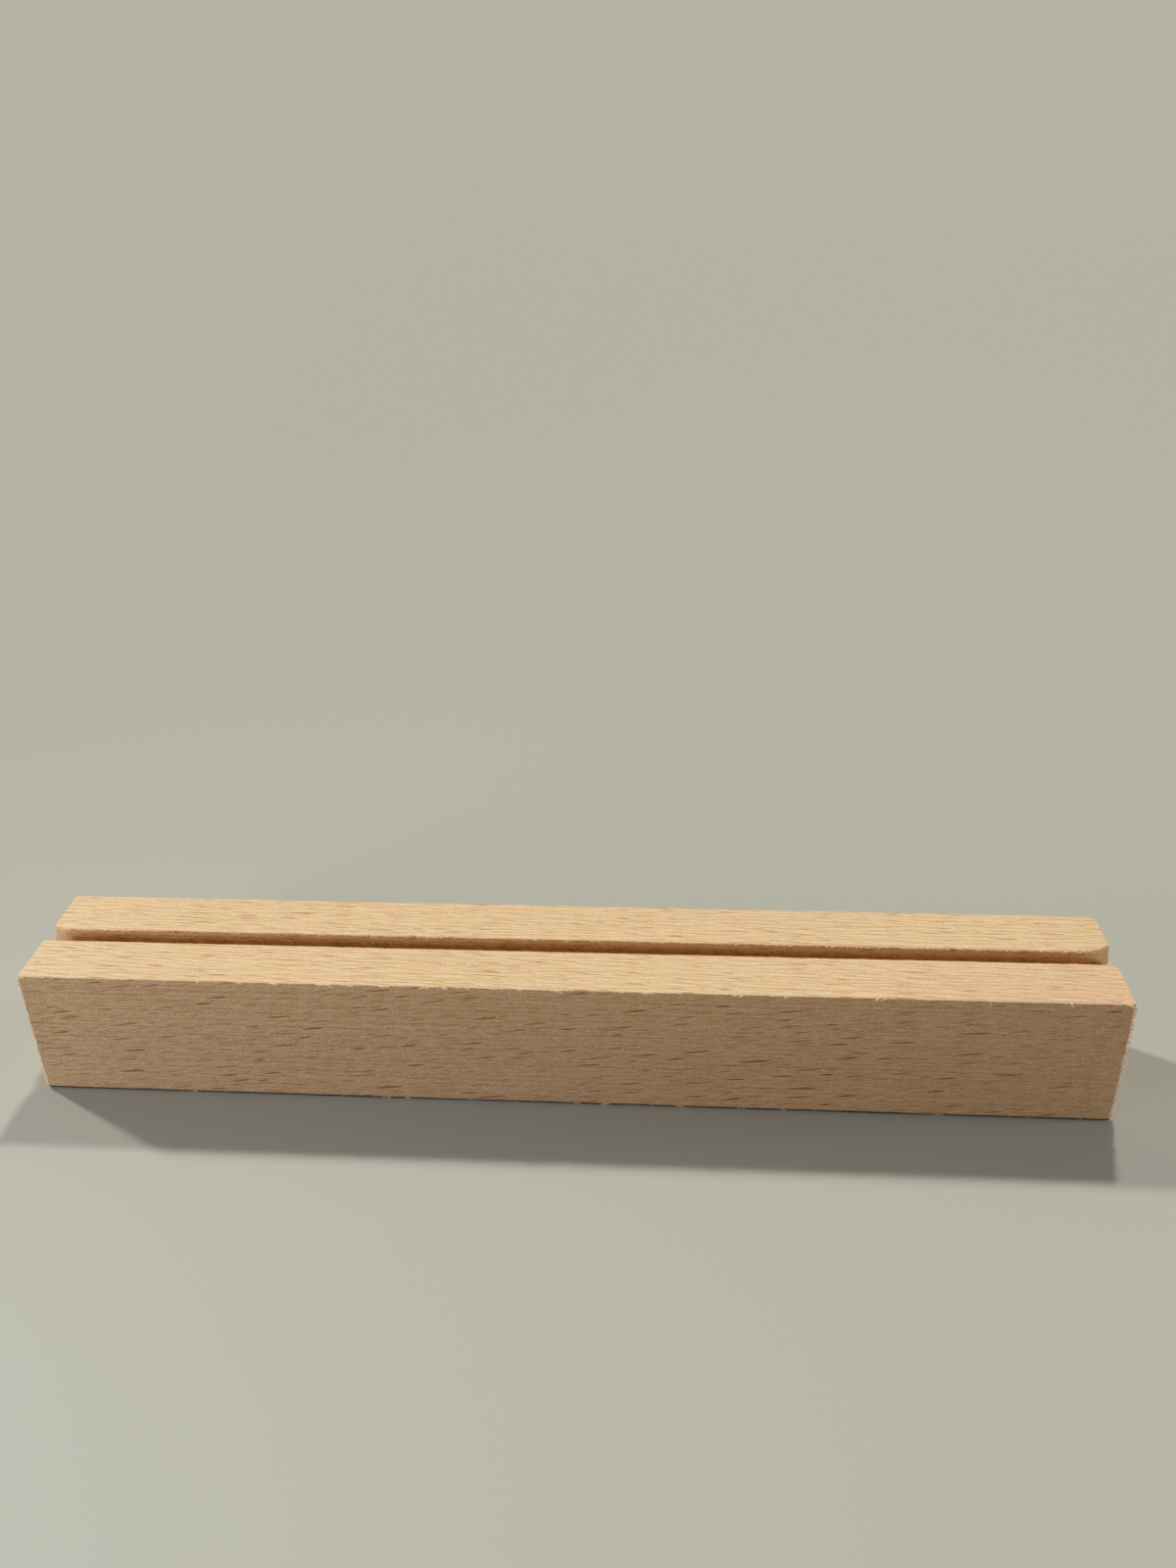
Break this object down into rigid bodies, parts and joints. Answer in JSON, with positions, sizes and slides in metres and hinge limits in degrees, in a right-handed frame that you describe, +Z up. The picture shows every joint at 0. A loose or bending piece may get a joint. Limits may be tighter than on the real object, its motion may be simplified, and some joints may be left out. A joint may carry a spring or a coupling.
{
  "type": "place card holder",
  "caption": "Plain square bar of raw beech with one straight saw-cut slot along its top face, which holds a place card, menu card or small sign upright.",
  "frame": {"origin": "on the table, under the middle of the bar", "axes": "+X along the bar and its slot, to the right as the picture shows it; +Y from the front to the rear; +Z up, out of the slot"},
  "size_m": [0.15, 0.02, 0.02],
  "materials": {
    "beech": "raw beech, sawn and lightly sanded, with no oil or varnish"
  },
  "bodies": {
    "root": {"slotted_block": "beech"}
  },
  "joints": []
}
